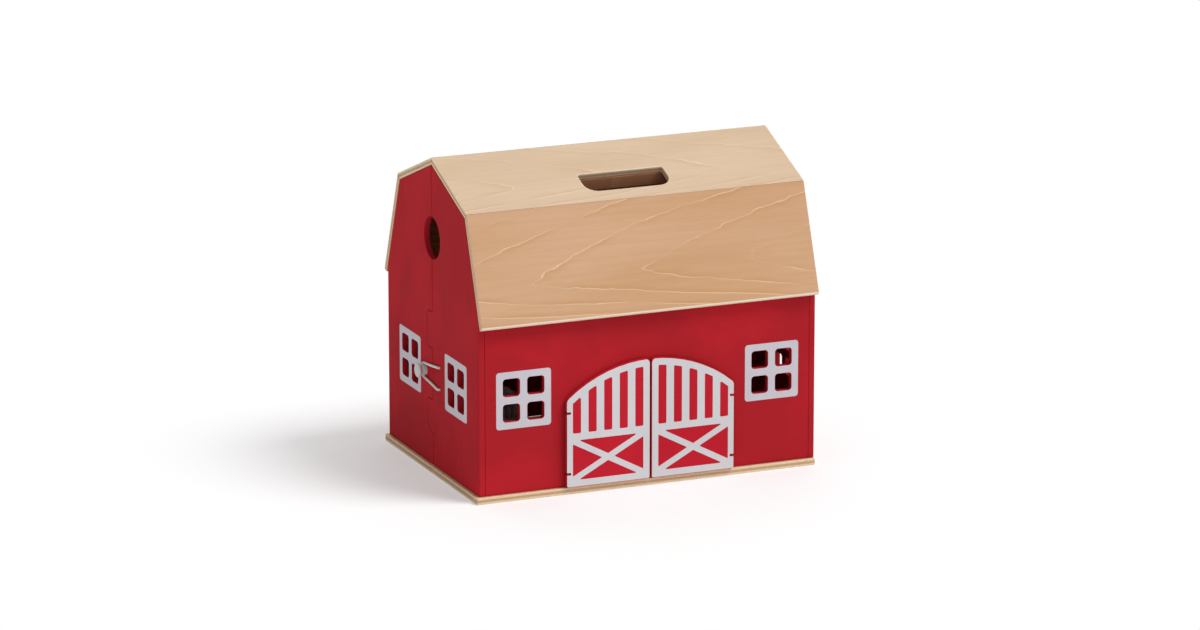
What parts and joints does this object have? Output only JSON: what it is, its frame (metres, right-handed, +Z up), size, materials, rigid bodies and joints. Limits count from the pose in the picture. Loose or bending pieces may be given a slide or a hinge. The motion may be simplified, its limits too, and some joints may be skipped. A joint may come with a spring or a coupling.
{
  "type": "toy house playset",
  "caption": "Wooden toy barn in two halves that open like a book at one gable, with a double gate, a two-part stable door, roof hand slots, lofts, an elastic latch and loose fences and troughs.",
  "frame": {"origin": "middle of the underside of the closed barn's bounding box", "axes": "+Z up, X along the ridge with the latch gable at -X and the hinge gable at +X, front wall with the gate towards -Y"},
  "size_m": [0.35, 0.246, 0.2999],
  "materials": {
    "natural_wood": "clear-sealed birch plywood, satin, with pale layered edges",
    "red_paint": "plywood stained and painted barn red, satin, grain faintly visible",
    "bright_red_paint": "printed bright red on white painted plywood, satin",
    "white_paint": "white paint, satin",
    "steel": "zinc plated steel",
    "brass": "brass plated, satin",
    "elastic": "white braided round elastic"
  },
  "bodies": {
    "front_half": {"front_floor": "natural_wood", "front_loft": "natural_wood", "front_loft_cleat": "natural_wood", "front_latch_gable": "red_paint", "front_hinge_gable": "red_paint", "front_latch_gable_window": "white_paint", "front_hinge_gable_window": "white_paint", "front_lower_roof": "natural_wood", "front_upper_roof": "natural_wood", "front_grip_batten": "natural_wood", "front_wall": "red_paint", "front_left_window": "white_paint", "front_right_window": "white_paint", "gate_left_lower_eye": "steel", "gate_left_upper_eye": "steel", "gate_right_lower_eye": "steel", "gate_right_upper_eye": "steel", "lower_hinge_front_leaf": "brass", "lower_hinge_pin": "brass", "upper_hinge_front_leaf": "brass", "upper_hinge_pin": "brass"},
    "back_half": {"back_floor": "natural_wood", "back_loft": "natural_wood", "back_loft_cleat": "natural_wood", "back_latch_gable": "red_paint", "back_hinge_gable": "red_paint", "back_latch_gable_window": "white_paint", "back_hinge_gable_window": "white_paint", "back_lower_roof": "natural_wood", "back_upper_roof": "natural_wood", "back_grip_batten": "natural_wood", "back_wall": "red_paint", "back_left_window": "white_paint", "back_right_window": "white_paint", "stable_lower_lower_eye": "steel", "stable_lower_upper_eye": "steel", "stable_upper_lower_eye": "steel", "stable_upper_upper_eye": "steel", "lower_hinge_back_leaf": "brass", "upper_hinge_back_leaf": "brass", "latch_knob": "white_paint"},
    "gate_left": {"gate_left_leaf": "bright_red_paint", "gate_left_lattice": "white_paint", "gate_left_pin": "steel"},
    "gate_right": {"gate_right_leaf": "bright_red_paint", "gate_right_lattice": "white_paint", "gate_right_pin": "steel"},
    "stable_lower": {"stable_lower_leaf": "bright_red_paint", "stable_lower_lattice": "white_paint", "stable_lower_pin": "steel"},
    "stable_upper": {"stable_upper_leaf": "bright_red_paint", "stable_upper_lattice": "white_paint", "stable_upper_pin": "steel"},
    "latch_loop": {"latch_loop": "elastic"},
    "front_stall_panel": {"front_stall_panel": "white_paint"},
    "front_fence": {"front_fence": "white_paint"},
    "front_trough": {"front_trough": "white_paint"},
    "back_stall_panel": {"back_stall_panel": "white_paint"},
    "back_fence": {"back_fence": "white_paint"},
    "back_trough": {"back_trough": "white_paint"}
  },
  "joints": [
    {"name": "barn_open", "type": "hinge", "parent": "front_half", "child": "back_half", "pos_m": [0.173, 0, 0.109], "axis": [0, 0, -1], "range_deg": [0, 180]},
    {"name": "gate_left_swing", "type": "hinge", "parent": "front_half", "child": "gate_left", "pos_m": [-0.0789, -0.1174, 0.06], "axis": [0, 0, -1], "range_deg": [0, 170]},
    {"name": "gate_right_swing", "type": "hinge", "parent": "front_half", "child": "gate_right", "pos_m": [0.0849, -0.1174, 0.06], "axis": [0, 0, 1], "range_deg": [0, 170]},
    {"name": "stable_lower_swing", "type": "hinge", "parent": "back_half", "child": "stable_lower", "pos_m": [0.0421, 0.1174, 0.037], "axis": [0, 0, -1], "range_deg": [0, 170]},
    {"name": "stable_upper_swing", "type": "hinge", "parent": "back_half", "child": "stable_upper", "pos_m": [0.0421, 0.1174, 0.098], "axis": [0, 0, -1], "range_deg": [0, 170]},
    {"name": "latch_release", "type": "hinge", "parent": "front_half", "child": "latch_loop", "pos_m": [-0.1665, -0.017, 0.094], "axis": [0, 0, 1], "range_deg": [0, 150], "deforming": ["latch_loop"]},
    {"name": "front_stall_panel_lift", "type": "slide", "parent": "front_half", "child": "front_stall_panel", "axis": [0, 0, 1], "range_m": [0, 0.06]},
    {"name": "front_fence_lift", "type": "slide", "parent": "front_half", "child": "front_fence", "axis": [0, 0, 1], "range_m": [0, 0.06]},
    {"name": "front_trough_lift", "type": "slide", "parent": "front_half", "child": "front_trough", "axis": [0, 0, 1], "range_m": [0, 0.06]},
    {"name": "back_stall_panel_lift", "type": "slide", "parent": "back_half", "child": "back_stall_panel", "axis": [0, 0, 1], "range_m": [0, 0.06]},
    {"name": "back_fence_lift", "type": "slide", "parent": "back_half", "child": "back_fence", "axis": [0, 0, 1], "range_m": [0, 0.06]},
    {"name": "back_trough_lift", "type": "slide", "parent": "back_half", "child": "back_trough", "axis": [0, 0, 1], "range_m": [0, 0.06]}
  ]
}
